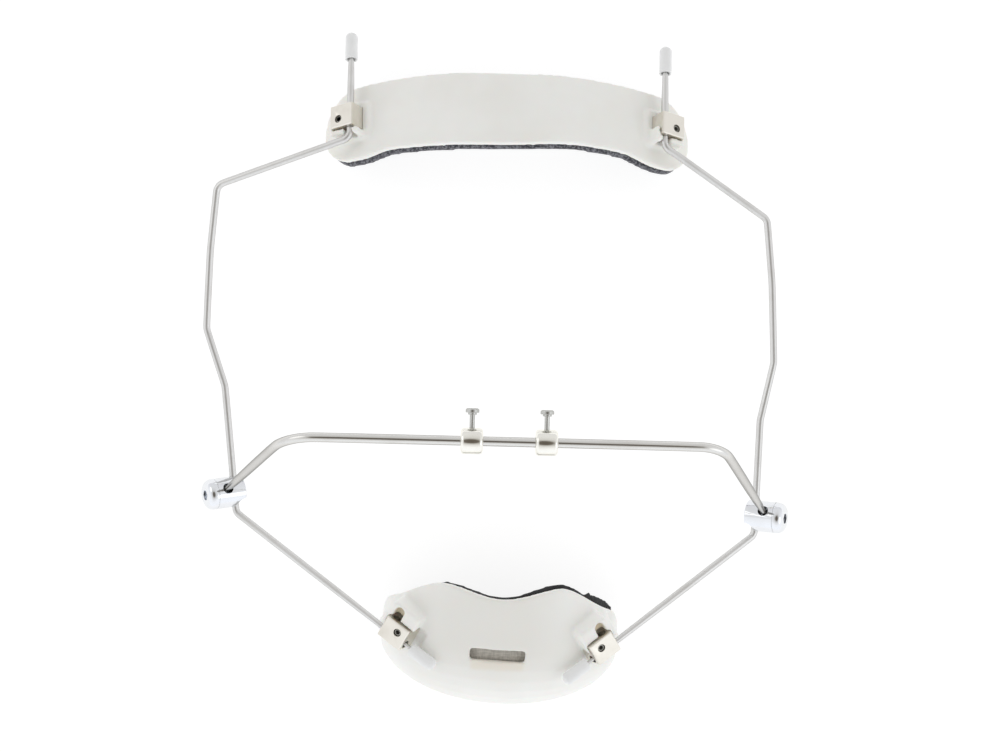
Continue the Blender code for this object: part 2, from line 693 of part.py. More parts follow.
def leg_points(side):
    """The leg's seat on the barrel axis and its top corner on the crossbar."""
    crossing, axis, _, leg = barrel_axes(side)
    seat = crossing + axis * (BARREL_LEG_PLACE - BARREL_WIRE_PLACE)
    return seat, seat + leg * LEG_LENGTH[side]


def barrel(side):
    crossing, axis, wire, leg = barrel_axes(side)
    seat = leg_points(side)[0]
    frame = axes_frame(crossing - axis * BARREL_WIRE_PLACE, wire, axis)
    radius = BARREL_DIAMETER / 2
    edge = BARREL_CHAMFER
    profile = [(0, BARREL_BODY_LENGTH), (radius, BARREL_BODY_LENGTH), (radius, edge), (radius - edge, 0), (0, 0)]
    body = finish(turned(profile, BARREL_SIDES), side + "_barrel", CHROME, frame)

    reach = BARREL_DIAMETER
    combine(body, "DIFFERENCE", tool(rod(WIRE_BORE_RADIUS, -reach, reach, BORE_SIDES),
                                     side + "_wire_bore", along(crossing, wire)))
    combine(body, "DIFFERENCE", tool(rod(LEG_HOLE_RADIUS, -LEG_HOLE_PAST_AXIS, reach, BORE_SIDES),
                                     side + "_leg_hole", along(seat, leg)))
    corner = crossing - axis * BARREL_WIRE_PLACE - wire * radius
    combine(body, "DIFFERENCE", tool(rod(BARREL_SCOOP_RADIUS, -reach, reach, SMALL_SIDES),
                                     side + "_scoop", along(corner, axis.cross(wire))))
    shank_radius = DOME_SCREW_SHANK_DIAMETER / 2
    shank_end = BARREL_LEG_PLACE + LEG_HOLE_RADIUS
    combine(body, "DIFFERENCE", tool(rod(shank_radius + SCREW_GAP, BARREL_LEG_PLACE, reach * 2, BORE_SIDES),
                                     side + "_tapped_end", frame))

    base = BARREL_BODY_LENGTH + SEAT_GAP
    top = base + BARREL_DOME_LENGTH
    rise = BARREL_DOME_LENGTH - BARREL_CHAMFER
    turns = [step * DOME_STEP for step in range(6)]
    dome = [(DOME_FLAT_RADIUS + (radius - DOME_FLAT_RADIUS) * math.sin(turn), top - rise * (1 - math.cos(turn)))
            for turn in turns]
    profile = [(0, top), *dome, (radius, base), (shank_radius, base), (shank_radius, shank_end), (0, shank_end)]
    screw = finish(turned(profile, BARREL_SIDES), side + "_dome_screw", CHROME, frame)
    socket = rod(DOME_SCREW_SOCKET / math.sqrt(3), top - DOME_SCREW_SOCKET_DEPTH, top * 2, 6)
    combine(screw, "DIFFERENCE", tool(socket, side + "_dome_socket", frame))


def crossbar():
    corners = []
    for side in SIDES:
        seat, top = leg_points(side)
        leg = barrel_axes(side)[3]
        ends = [(seat - leg * LEG_PAST_AXIS, 0), (top, LEG_BEND_RADIUS[side])]
        corners += ends if side == "left" else reversed(ends)
    bent_rod("crossbar", corners, LEG_RADIUS, STEEL)


def hook(side):
    """A collar on the crossbar, held by a mushroom-head screw that takes the elastic."""
    left, right = (leg_points(each)[1] for each in SIDES)
    run = (right - left).normalized()
    centre = left + run * COLLAR_PLACE[side]
    half = COLLAR_LENGTH / 2
    outer = COLLAR_DIAMETER / 2
    inner = LEG_RADIUS + SEAT_GAP
    band = COLLAR_BAND / 2
    bm = rod(outer, -half, half, BARREL_SIDES)
    rims = [edge for edge in bm.edges if abs(edge.verts[0].co.z - edge.verts[1].co.z) < MM / 10]
    bmesh.ops.bevel(bm, geom=rims, offset=half - band, segments=3, profile=0.5, affect="EDGES", material=-1)
    collar = finish(bm, side + "_hook_collar", NICKEL, along(centre, run))
    combine(collar, "DIFFERENCE", tool(rod(inner, -COLLAR_LENGTH, COLLAR_LENGTH, BORE_SIDES),
                                       side + "_collar_bore", along(centre, run)))
    up = (Vector((0, 1, 0)) - run.y * run).normalized()
    shank = HOOK_SHANK_DIAMETER / 2
    combine(collar, "DIFFERENCE", tool(rod(shank + SCREW_GAP, 0, COLLAR_DIAMETER, SMALL_SIDES),
                                       side + "_hook_hole", along(centre, up)))
    tip = LEG_RADIUS + SEAT_GAP
    neck_base = outer + HOOK_SHANK_SHOWN
    head_base = neck_base + HOOK_NECK_HEIGHT
    top = neck_base + HOOK_HEAD_HEIGHT
    neck = HOOK_NECK_DIAMETER / 2
    head = HOOK_HEAD_DIAMETER / 2
    edge = HOOK_HEAD_ROUNDING
    profile = [(0, top), (head - edge, top), (head, top - edge), (head, head_base), (neck, head_base),
               (neck, neck_base), (shank, neck_base), (shank, tip), (0, tip)]
    finish(turned(profile, SMALL_SIDES), side + "_hook_screw", NICKEL, along(centre, up))


forehead_shell()
forehead_liner()
chin_shell()
chin_liner()
for each_side in SIDES:
    side_wire(each_side)
    clamp_block("forehead", each_side)
    clamp_block("chin", each_side)
    barrel(each_side)
    hook(each_side)
crossbar()
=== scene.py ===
"""The looks of the reverse-pull face mask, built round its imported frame."""
import json
import math

import bmesh
import bpy
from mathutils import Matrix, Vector


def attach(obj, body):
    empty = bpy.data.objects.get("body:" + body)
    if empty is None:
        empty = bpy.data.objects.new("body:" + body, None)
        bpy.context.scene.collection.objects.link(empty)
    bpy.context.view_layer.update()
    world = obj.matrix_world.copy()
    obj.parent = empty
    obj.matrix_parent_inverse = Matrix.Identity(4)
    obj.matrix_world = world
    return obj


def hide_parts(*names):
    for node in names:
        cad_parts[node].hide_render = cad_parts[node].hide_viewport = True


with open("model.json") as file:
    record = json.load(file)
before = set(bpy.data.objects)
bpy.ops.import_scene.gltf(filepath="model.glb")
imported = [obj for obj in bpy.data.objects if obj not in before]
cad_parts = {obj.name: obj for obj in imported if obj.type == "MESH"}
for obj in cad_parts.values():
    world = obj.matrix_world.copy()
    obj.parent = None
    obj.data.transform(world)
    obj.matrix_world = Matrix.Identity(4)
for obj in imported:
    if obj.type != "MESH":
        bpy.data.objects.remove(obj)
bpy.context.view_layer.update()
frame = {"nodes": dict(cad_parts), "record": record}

MM = 0.001

# Camera: straight above the mask, turned a little in the picture plane
CAMERA_PLACE = Vector((1.0, -1.43, 534.5)) * MM
CAMERA_TURN = math.radians(2.2)
PICTURE_WIDTH = 1000
FOCAL_PIXELS = 1444
SENSOR = 36.0
CLIP_START = 10 * MM

# The light tent, its lamps and the table
SKY_STRENGTH = 1.15
LAMP_SIZE = 0.5
LAMP_POWER = 0.3
TABLE_HALF = 3.0
TABLE_GLOW = 0.8

# How finely the shells and the pads are remeshed and how much they are smoothed
SHELL_VOXEL = 0.5 * MM
SHELL_SMOOTHING = 12
PAD_VOXEL = 0.8 * MM
PAD_SMOOTHING = 3
SMOOTHING_FACTOR = 0.5

# The pads' padding: drawn in at first, then swollen by pressure up to a cap
PAD_SHRINK = 0.2 * MM
PAD_SWELL = 0.42 * MM
PAD_PRESSURE = 4.0
PAD_FRAMES = 12

# Where the pads' edges dip: middle, half width, heights from no drop to full drop, and the drop
EDGE_DIPS = {"forehead": (-18 * MM, 42 * MM, (96 * MM, 84 * MM), 1.55 * MM),
             "chin": (0.5 * MM, 26 * MM, (-91 * MM, -82 * MM), 1.4 * MM)}

# How the clamp blocks sit in the moulded shells: gap, plug under the skin and bared inner face
POCKET_GAP = 0.1 * MM
PLUG_MARGIN = 0.35 * MM
BARED = {"forehead": 6.4 * MM, "chin": 7.2 * MM}
BARED_REACH = 4.5 * MM
CHIN_BLOCK_LEAN = 1.7 * MM

# What counts as a side wall of a clamp block: its least area and its tilt out of square
WALL_AREA = 4 * MM * MM
WALL_TILT = 0.05

# Rounding of edges, and the gap that the dome screw closes on its barrel
MACHINED_EDGE = 0.18 * MM
TURNED_EDGE = 0.12 * MM
CAP_EDGE = 0.12 * MM
SEAM_EDGE = 0.07 * MM
SEAM_GAP = 0.3 * MM
SEAM_LEFT = 0.04 * MM

# The hexagon socket in a dome screw: its depth, and where its shadow is full and where it ends
SOCKET_DEPTH = 1.2 * MM
SOCKET_SHADE = (1.3 * MM, 1.495 * MM)

# The wires, and how far their flat-sided tubes are opened so that the rounded ones keep their size
SIDE_WIRE_RADIUS = 1.25 * MM
CROSSBAR_RADIUS = 1.6 * MM
TUBE_OPENING = 0.047

# Angles past which an edge stays sharp
EDGE_ANGLE = math.radians(34)
SHELL_ANGLE = math.radians(50)
WIRE_ANGLE = math.radians(60)
NO_EDGES = math.radians(180)

# How near two corners merge, and angles up to which triangles join into one face
MERGE_DISTANCE = 0.001 * MM
FLAT_ANGLE = math.radians(0.5)
TUBE_ANGLE = math.radians(30)
ANY_SHAPE = math.radians(180)

# The black foam stands out above the chin cup's right side and widens to a tab at the shoulder
STRIP_START = 6.0 * MM
STRIP_FULL = 22.0 * MM
STRIP_RISE = 1.3 * MM
TAB_START = 33.5 * MM
TAB_FULL = 34.5 * MM
TAB_RISE = 2.1 * MM
STRIP_LOWEST = -96.0 * MM
STRIP_LEAN = Vector((0.35, 0.94, 0.0))
STRIP_SIDE = Vector((0.5, 1.0, 0.0))
STRIP_FACING = (0.35, 0.8)

# The cloth that shows below the forehead band
CLOTH_PEEP = 0.4 * MM
CLOTH_FACING = (0.3, 0.8)

# The strap slot in the chin cup, how far its crisp edges reach and the painted shadow on the lip below it
SLOT_PLACE = Vector((3.8, -99.2, 31.0)) * MM
SLOT_HALF = Vector((9.7, 2.1)) * MM
SLOT_MARGIN = 2.0 * MM
SLOT_BACK = 9 * MM
SLOT_SMOOTHING = 0.3
SLOT_FADE = 1.5 * MM
LIP_DROP = 1.2 * MM
LIP_INSET = 1.5 * MM
LIP_HALF_HEIGHT = 0.8 * MM
LIP_FADE = 2.0 * MM

# The notches beside the chin blocks, with their painted shade
NOTCH_OFFSET = 2.2 * MM
NOTCH_HALF = 2.3 * MM
NOTCH_START = 1.5 * MM
NOTCH_END = 4.2 * MM
NOTCH_DEPTH = 3.4 * MM
NOTCH_SHADE_REACH = (1.4 * MM, 3.3 * MM)

# Where the ivory plastic is shaded, and how deep a mark on its front reaches
PAD_END = 62 * MM
PAD_END_FADE = 18 * MM
CUP_MIDDLE = Vector((1.0, -88.0, 31.0)) * MM
CUP_SHADE = (12 * MM, 30 * MM)
MARK_DEPTH = 8 * MM
MARK_FADE = 1 * MM


# Reading the frame

def merged(node, joined=True):
    """A bmesh of a CAD node's loose triangles, merged, and each flat region joined into one face."""
    bm = bmesh.new()
    bm.from_mesh(frame["nodes"][node].data)
    bmesh.ops.remove_doubles(bm, verts=bm.verts, dist=MERGE_DISTANCE)
    if joined:
        bmesh.ops.dissolve_limit(bm, angle_limit=FLAT_ANGLE, verts=bm.verts, edges=bm.edges,
                                 use_dissolve_boundaries=False, delimit=set())
    return bm


def body_of(node):
    for body, members in frame["record"]["behaviour"]["bodies"].items():
        if node in members:
            return body


def joint_named(name):
    for joint in frame["record"]["behaviour"]["joints"]:
        if joint["name"] == name:
            return joint


class BlockBox:
    """The box of a clamp block: its inward, upward and outward axes and its extents on them."""

    def __init__(self, node):
        solid = merged(node)
        screw = joint_named(node.replace("block", "set_screw") + "_turn")
        self.outward = Vector(screw["axis"]).normalized()
        if self.outward.z < 0:
            self.outward = -self.outward
        walls = [face.normal.copy() for face in solid.faces
                 if abs(face.normal.dot(self.outward)) < WALL_TILT and face.calc_area() > WALL_AREA]
        to_middle = 1 if node.startswith("left") else -1
        self.inward = max(walls, key=lambda normal: normal.x * to_middle)
        self.upward = self.outward.cross(self.inward)
        if self.upward.y < 0:
            self.upward = -self.upward
        axes = (self.inward, self.upward, self.outward)
        spans = [[vert.co.dot(axis) for vert in solid.verts] for axis in axes]
        self.low = Vector([min(span) for span in spans])
        self.high = Vector([max(span) for span in spans])
        self.notch_middle = (self.low.x + self.high.x) / 2 - NOTCH_OFFSET
        solid.free()

    def point(self, inward, upward, outward):
        return self.inward * inward + self.upward * upward + self.outward * outward

    def box(self, name, low, high):
        """A box in the block's own axes, as an object for a modifier."""
        bm = bmesh.new()
        bmesh.ops.create_cube(bm, size=1)
        for vert in bm.verts:
            corner = [start if place < 0 else end for start, end, place in zip(low, high, vert.co)]
            vert.co = self.point(*corner)
        bmesh.ops.recalc_face_normals(bm, faces=bm.faces)
        mesh = bpy.data.meshes.new(name)
        bm.to_mesh(mesh)
        bm.free()
        return bpy.data.objects.new(name, mesh)

    def pocket(self):
        """The block itself with a thin gap, carried on past its front face."""
        gap = Vector((POCKET_GAP, POCKET_GAP, POCKET_GAP))
        return self.box("pocket", self.low - gap, self.high + gap + Vector((0, 0, BARED_REACH)))

    def plug(self, bared):
        """Fills the clearance round the block below the bared part."""
        margin = Vector((PLUG_MARGIN, PLUG_MARGIN, PLUG_MARGIN))
        return self.box("plug", self.low - margin, self.high + margin - Vector((0, 0, PLUG_MARGIN + bared)))

    def relief(self, bared):
        """The room beside the block's inner face, which is bare in the photograph."""
        low = Vector((self.high.x - PLUG_MARGIN, self.low.y, self.high.z - bared))
        return self.box("relief", low, self.high + Vector((BARED_REACH, 0, BARED_REACH)))

    def notch_floor(self):
        """Fills the far half of the notch above the block's upper face to a shallow floor."""
        low = Vector((self.notch_middle - NOTCH_HALF, self.high.y + NOTCH_START, self.low.z))
        high = Vector((self.notch_middle + NOTCH_HALF, self.high.y + NOTCH_END, self.high.z - NOTCH_DEPTH))
        return self.box("notch", low, high)

    def notch(self):
        """The middle of that floor."""
        along = self.high.y + (NOTCH_START + NOTCH_END) / 2
        return self.point(self.notch_middle, along, self.high.z - NOTCH_DEPTH)


def dome_sockets():
    """The middle of the hexagon socket in each dome screw."""
    places = []
    for side in ("left", "right"):
        joint = joint_named(side + "_dome_screw_turn")
        axis, seat = Vector(joint["axis"]), Vector(joint["pos_m"])
        solid = merged(side + "_dome_screw")
        reach = max(((vert.co - seat).dot(axis) for vert in solid.verts), key=abs)
        solid.free()
        places.append(seat + axis * (reach - math.copysign(SOCKET_DEPTH, reach)))
    return places


def notch_places():
    return [BlockBox(side + "_chin_block").notch() for side in ("left", "right")]


# Shader expressions

def rgb(red, green, blue):
    return (red, green, blue, 1.0)


def darker(colour, red=1.0, green=1.0, blue=1.0):
    """A colour with each of its parts cut to a share."""
    return rgb(colour[0] * red, colour[1] * green, colour[2] * blue)


class Value:
    """One shader value; arithmetic on it adds Math nodes to its material."""

    def __init__(self, network, socket):
        self.network = network
        self.socket = socket

    def math(self, operation, *inputs):
        return self.network.node("ShaderNodeMath", {"operation": operation}, inputs)

    def __add__(self, other):
        return self.math("ADD", self, other)

    def __radd__(self, other):
        return self.math("ADD", other, self)

    def __sub__(self, other):
        return self.math("SUBTRACT", self, other)

    def __rsub__(self, other):
        return self.math("SUBTRACT", other, self)

    def __mul__(self, other):
        return self.math("MULTIPLY", self, other)

    def __rmul__(self, other):
        return self.math("MULTIPLY", other, self)

    def __abs__(self):
        return self.math("ABSOLUTE", self)

    def band(self, low, high):
        """0 below low, 1 above high and a smooth rise between."""
        values = {"Value": self, "From Min": low, "From Max": high}
        return self.network.node("ShaderNodeMapRange", {"interpolation_type": "SMOOTHSTEP"}, values)


class Network:
    """A node tree that expressions are written into."""

    def __init__(self, tree):
        self.links = tree.links
        self.nodes = tree.nodes

    def node(self, kind, settings, values, output=0):
        """Any node: its settings first, then the values or links of its sockets."""
        made = self.nodes.new(kind)
        for key, value in settings.items():
            if key == "stops":
                self.set_stops(made.color_ramp, value)
            else:
                setattr(made, key, value)
        pairs = values.items() if isinstance(values, dict) else enumerate(values)
        for socket, value in pairs:
            if isinstance(value, Value):
                self.links.new(value.socket, made.inputs[socket])
            else:
                made.inputs[socket].default_value = value
        return Value(self, made.outputs[output])

    def set_stops(self, ramp, stops):
        while len(ramp.elements) < len(stops):
            ramp.elements.new(0.5)
        for element, (position, colour) in zip(ramp.elements, stops):
            element.position = position
            element.color = rgb(*colour)

    def axes(self, vector):
        """The x, y and z of a vector."""
        x = self.node("ShaderNodeSeparateXYZ", {}, {"Vector": vector})
        return [Value(self, output) for output in x.socket.node.outputs]

    def ramp(self, share, stops):
        return self.node("ShaderNodeValToRGB", {"stops": stops}, {"Fac": share})

    def blend(self, share, first, second):
        values = {0: share, 6: first, 7: second}
        return self.node("ShaderNodeMix", {"data_type": "RGBA"}, values, 2)


class Finish(Network):
    """A material whose Principled shader and bump are built from expressions."""

    def __init__(self, name, **fixed):
        self.material = bpy.data.materials.new(name)
        self.material.use_nodes = True
        super().__init__(self.material.node_tree)
        self.shader = self.nodes["Principled BSDF"]
        self.place = self.node("ShaderNodeTexCoord", {}, {}, "Object")
        for socket, value in fixed.items():
            self.shader.inputs[socket.replace("_", " ")].default_value = value

    def stretched(self, scale):
        return self.node("ShaderNodeMapping", {}, {"Vector": self.place, "Scale": scale})

    def noise(self, scale, detail, rough, where=None):
        values = {"Vector": where or self.place, "Scale": scale, "Detail": detail, "Roughness": rough}
        return self.node("ShaderNodeTexNoise", {}, values)

    def cells(self, scale, where=None):
        """Distance to the nearest of scattered points, for pores and threads."""
        return self.node("ShaderNodeTexVoronoi", {}, {"Vector": where or self.place, "Scale": scale})

    def near(self, point, inner, outer):
        """1 within the inner distance of a point, 0 beyond the outer one."""
        values = {0: self.place, 1: tuple(point)}
        away = self.node("ShaderNodeVectorMath", {"operation": "DISTANCE"}, values, "Value")
        return 1 - away.band(inner, outer)

    def within(self, centre, half_width, half_height, fade):
        """1 inside an upright rectangle seen from in front, 0 a little outside it."""
        x, y, z = self.axes(self.place)
        across = 1 - abs(x - centre.x).band(half_width, half_width + fade)
        upward = 1 - abs(y - centre.y).band(half_height, half_height + fade)
        back = centre.z - MARK_DEPTH
        return across * upward * z.band(back, back + MARK_FADE)

    def feed(self, **links):
        for socket, value in links.items():
            self.links.new(value.socket, self.shader.inputs[socket.replace("_", " ")])

    def bump(self, *layers):
        """Stack height layers of (height, distance in metres, strength) into the shader's normal."""
        normal = None
        for height, distance, strength in layers:
            values = {"Height": height, "Distance": distance, "Strength": strength}
            if normal:
                values["Normal"] = normal
            normal = self.node("ShaderNodeBump", {}, values)
        self.feed(Normal=normal)


# Materials

IVORY = (0.93, 0.928, 0.9)
IVORY_LIP_SHADE = (0.84, 0.77, 0.65)
IVORY_NOTCH_SHADE = (0.66, 0.55, 0.36)
SOCKET_SHADOW = (0.03, 0.03, 0.03)


def ivory_plastic(name):
    """Satin moulded plastic: faint clouding, a fine skin, pressed specks, painted shade in the middle of
    the chin cup, and brownish painted shadow on the lip below the strap slot and in the notches beside the
    chin blocks.
    """
    finish = Finish(name, Metallic=0.0, IOR=1.46, Subsurface_Weight=0.08, Subsurface_Scale=0.002)
    cloud = finish.noise(38, 3, 0.55)
    fine = finish.noise(620, 2, 0.6)
    speck = finish.cells(160).band(0.0, 0.035)
    tint = finish.blend(cloud.band(0.3, 0.72), rgb(*IVORY), darker(IVORY, 0.96, 0.954, 0.941))
    tint = finish.blend(speck, darker(IVORY, 0.9, 0.88, 0.84), tint)

    across = abs(finish.axes(finish.place)[0])
    ends = across.band(PAD_END - PAD_END_FADE, PAD_END)
    tint = finish.blend(ends * 0.6, tint, darker(IVORY, green=0.99, blue=0.955))
    shade = finish.near(CUP_MIDDLE, *CUP_SHADE)
    tint = finish.blend(shade * 0.8, tint, darker(IVORY, 0.91, 0.9, 0.88))

    # Painted shadow: a warm brown band on the lip just below the strap slot.
    lip_middle = SLOT_PLACE - Vector((0, SLOT_HALF.y + LIP_DROP, 0))
    lip = finish.within(lip_middle, SLOT_HALF.x - LIP_INSET, LIP_HALF_HEIGHT, LIP_FADE)
    tint = finish.blend(lip * 0.55, tint, rgb(*IVORY_LIP_SHADE))
    # Painted shade: a brown tint round the notch beside each chin block.
    left, right = (finish.near(place, *NOTCH_SHADE_REACH) for place in notch_places())
    tint = finish.blend((left + right) * 0.75, tint, rgb(*IVORY_NOTCH_SHADE))

    finish.feed(Base_Color=tint, Roughness=0.36 + cloud * 0.1 + fine * 0.05)
    finish.bump((cloud, 0.4 * MM, 0.12), (fine, 0.05 * MM, 0.25))
    return finish.material


def speckled_cloth(name):
    """Grey heathered knit: dark ground, pale flecks, raised loops."""
    finish = Finish(name, Metallic=0.0, IOR=1.4, Sheen_Weight=0.35, Sheen_Roughness=0.5)
    loops = finish.cells(1500, finish.stretched((1.0, 1.0, 1.35)))
    fleck = finish.noise(1150, 2, 0.65).band(0.42, 0.62)
    patch = finish.noise(230, 3, 0.6)
    ground = finish.blend(patch.band(0.35, 0.7), rgb(0.035, 0.035, 0.043), rgb(0.08, 0.08, 0.092))
    heather = finish.blend(fleck * 0.8, ground, rgb(0.25, 0.25, 0.275))
    finish.feed(Base_Color=heather, Roughness=0.86 + fleck * 0.1)
    finish.bump((loops, 0.25 * MM, 0.5), (patch, 0.2 * MM, 0.3))
    return finish.material


def chin_foam(name):
    """Black closed-cell foam with pores; its cloth face shows grey through the strap slot."""
    finish = Finish(name, Metallic=0.0, IOR=1.4, Sheen_Weight=0.2, Sheen_Roughness=0.4)
    pores = finish.cells(1300)
    cloud = finish.noise(160, 3, 0.6)
    foam = finish.blend(cloud.band(0.3, 0.75), rgb(0.018, 0.018, 0.019), rgb(0.045, 0.045, 0.047))
    warp = finish.noise(900, 1, 0.5, finish.stretched((0.25, 2.2, 1.0)))
    weft = finish.noise(900, 1, 0.5, finish.stretched((2.2, 0.25, 1.0)))
    weave = (warp + weft) * 0.5
    cloth = finish.blend(weave.band(0.35, 0.65), rgb(0.44, 0.42, 0.38), rgb(0.62, 0.59, 0.54))
    window = finish.within(SLOT_PLACE, SLOT_HALF.x, SLOT_HALF.y, SLOT_FADE)
    finish.feed(Base_Color=finish.blend(window, foam, cloth), Roughness=0.8 + cloud * 0.15)
    finish.bump((pores, 0.2 * MM, 0.4), (weave * window, 0.15 * MM, 0.5))
    return finish.material


def metal(name, colour, roughness, grain, streak=(1.0, 1.0, 1.0), tarnish=0.0, rim=1.0, sockets=()):
    """Plated or drawn metal: streaked roughness, scratches, tarnish, darker rims and sockets."""
    finish = Finish(name, Metallic=1.0, Specular_Tint=rgb(rim, rim, rim * 0.98))
    scratch = finish.noise(grain, 3, 0.7, finish.stretched(streak))
    smudge = finish.noise(95, 3, 0.6)
    dull = 0.86 - tarnish * 0.2
    worn = finish.blend(smudge.band(0.45, 0.8) * (0.3 + tarnish), rgb(*colour),
                        darker(colour, dull, dull * 0.98, dull * 0.95))
    for socket in sockets:
        worn = finish.blend(finish.near(socket, *SOCKET_SHADE), worn, rgb(*SOCKET_SHADOW))
    finish.feed(Base_Color=worn, Roughness=roughness * (0.75 + scratch * 0.35 + smudge * 0.15))
    finish.bump((scratch, 0.02 * MM, 0.08), (smudge, 0.1 * MM, 0.04))
    return finish.material


def milky_rubber(name):
    """Soft cloudy sleeve: cool grey-white with a slightly tacky sheen."""
    finish = Finish(name, Metallic=0.0, IOR=1.43, Subsurface_Weight=0.2, Subsurface_Scale=0.001,
                    Subsurface_Radius=(1.0, 1.0, 1.0))
    cloud = finish.noise(240, 2, 0.5)
    milk = finish.blend(cloud, rgb(0.83, 0.835, 0.835), rgb(0.89, 0.895, 0.895))
    finish.feed(Base_Color=milk, Roughness=0.4 + cloud * 0.18)
    finish.bump((cloud, 0.15 * MM, 0.2))
    return finish.material


SHELL_IVORY = ivory_plastic("shell_ivory")
FOREHEAD_CLOTH = speckled_cloth("forehead_cloth")
CHIN_FOAM = chin_foam("chin_foam")
SIDE_STEEL = metal("side_wire_steel", (0.73, 0.725, 0.715), roughness=0.4, grain=900,
                   streak=(2.4, 0.16, 2.4), tarnish=0.2, rim=0.35)
BAR_STEEL = metal("crossbar_steel", (0.72, 0.71, 0.69), roughness=0.17, grain=900,
                  streak=(0.16, 2.4, 2.4), tarnish=0.15, rim=0.4)
SCREW_STEEL = metal("screw_steel", (0.34, 0.335, 0.31), roughness=0.42, grain=1400, tarnish=0.6)
BLOCK_NICKEL = metal("block_nickel", (0.82, 0.785, 0.715), roughness=0.3, grain=700,
                     streak=(1.0, 2.0, 1.0), tarnish=0.3)
COLLAR_NICKEL = metal("collar_nickel", (0.90, 0.885, 0.83), roughness=0.09, grain=1100,
                      streak=(3.0, 0.6, 0.6), tarnish=0.2)
STUD_STEEL = metal("stud_steel", (0.56, 0.56, 0.54), roughness=0.28, grain=1100, tarnish=0.2, rim=0.6)
BARREL_CHROME = metal("barrel_chrome", (0.82, 0.835, 0.865), roughness=0.1, grain=800,
                      sockets=dome_sockets())
CAP_RUBBER = milky_rubber("cap_rubber")


# Making pieces from the frame's nodes

def piece(bm, name, node, finish, sharp=EDGE_ANGLE):
    """A finished object that stands for a CAD node and rides on its body."""
    mesh = bpy.data.meshes.new(name)
    bm.to_mesh(mesh)
    bm.free()
    mesh.shade_smooth()
    mesh.set_sharp_from_angle(angle=sharp)
    mesh.materials.clear()
    mesh.materials.append(finish)
    thing = bpy.data.objects.new(name, mesh)
    bpy.context.collection.objects.link(thing)
    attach(thing, body_of(node))
    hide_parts(node)
    return thing


def apply_modifiers(thing):
    """Swap the piece's mesh for its evaluated one."""
    evaluated = thing.evaluated_get(bpy.context.evaluated_depsgraph_get())
    fresh = bpy.data.meshes.new_from_object(evaluated)
    thing.modifiers.clear()
    thing.data = fresh


def remeshed(thing, voxel):
    """One closed skin of even faces."""
    remesh = thing.modifiers.new("one skin", "REMESH")
    remesh.mode = "VOXEL"
    remesh.voxel_size = voxel
    remesh.use_smooth_shade = True
    apply_modifiers(thing)


def softened(thing, iterations, weights=""):
    """Smooth the skin, all over or by the weights of a vertex group."""
    soften = thing.modifiers.new("soft edges", "SMOOTH")
    soften.factor = SMOOTHING_FACTOR
    soften.iterations = iterations
    soften.vertex_group = weights
    apply_modifiers(thing)


def boolean(thing, operation, box):
    """Join a box to a piece or cut it out of the piece; the box is dropped afterwards."""
    step = thing.modifiers.new(box.name, "BOOLEAN")
    step.operation = operation
    step.solver = "MANIFOLD"
    step.object = box
    apply_modifiers(thing)
    bpy.data.objects.remove(box, do_unlink=True)


def smooth_step(value, low, high):
    share = min(1.0, max(0.0, (value - low) / (high - low)))
    return share * share * (3 - 2 * share)


# Metal pieces and caps

def eased(node, finish, edge):
    """A metal piece or a cap as the frame has it, with its edges broken."""
    thing = piece(merged(node), node + "_finished", node, finish)
    rounding = thing.modifiers.new("broken edges", "BEVEL")
    rounding.width = edge
    rounding.segments = 3
    rounding.limit_method = "ANGLE"
    rounding.angle_limit = EDGE_ANGLE
    rounding.harden_normals = True
    rounding.use_clamp_overlap = True
    return thing


def dome_screw(side):
    """The domed screw, its rim brought up to its barrel past the clearance of the frame's solids."""
    node = side + "_dome_screw"
    thing = eased(node, BARREL_CHROME, SEAM_EDGE)
    joint = joint_named(node + "_turn")
    axis, seat = Vector(joint["axis"]), Vector(joint["pos_m"])
    for vert in thing.data.vertices:
        if abs((vert.co - seat).dot(axis) - SEAM_GAP) < SEAM_LEFT:
            vert.co -= axis * (SEAM_GAP - SEAM_LEFT)


def clamp_block(side, where):
    """A clamp block; the chin ones lean, so that their inner face shows from in front."""
    node = side + "_" + where + "_block"
    thing = eased(node, BLOCK_NICKEL, MACHINED_EDGE)
    if where == "chin":
        block = BlockBox(node)
        depth = block.high.z - block.low.z
        for vert in thing.data.vertices:
            if block.high.x - vert.co.dot(block.inward) < MACHINED_EDGE:
                share = (block.high.z - vert.co.dot(block.outward)) / depth
                vert.co += block.inward * CHIN_BLOCK_LEAN * share


def drawn_wire(node, finish, radius):
    """A bent wire: the frame's tube made of quads, then subdivided until it is round."""
    bm = merged(node, joined=False)
    bm.normal_update()
    for vert in bm.verts:
        vert.co += vert.normal * radius * TUBE_OPENING
    bmesh.ops.join_triangles(bm, faces=bm.faces, cmp_seam=False, cmp_sharp=False, cmp_uvs=False,
                             cmp_vcols=False, cmp_materials=False,
                             angle_face_threshold=TUBE_ANGLE, angle_shape_threshold=ANY_SHAPE)
    thing = piece(bm, node + "_finished", node, finish, WIRE_ANGLE)
    rounder = thing.modifiers.new("round section", "SUBSURF")
    rounder.levels = 2
    rounder.render_levels = 2


# Shells and pads

def dip_edge(thing, where):
    """Let the shell's or liner's edge dip as in the photograph."""
    middle, half, heights, drop = EDGE_DIPS[where]
    for vert in thing.data.vertices:
        across = max(0.0, 1 - ((vert.co.x - middle) / half) ** 2)
        vert.co.y -= drop * across * smooth_step(vert.co.y, *heights)


def smoothing_share(place):
    """How much of the smoothing a point takes: little at the strap slot, all elsewhere."""
    offset = place - SLOT_PLACE
    away = max(abs(offset.x) - SLOT_HALF.x, abs(offset.y) - SLOT_HALF.y)
    return SLOT_SMOOTHING if away < SLOT_MARGIN and offset.z > -SLOT_BACK else 1.0


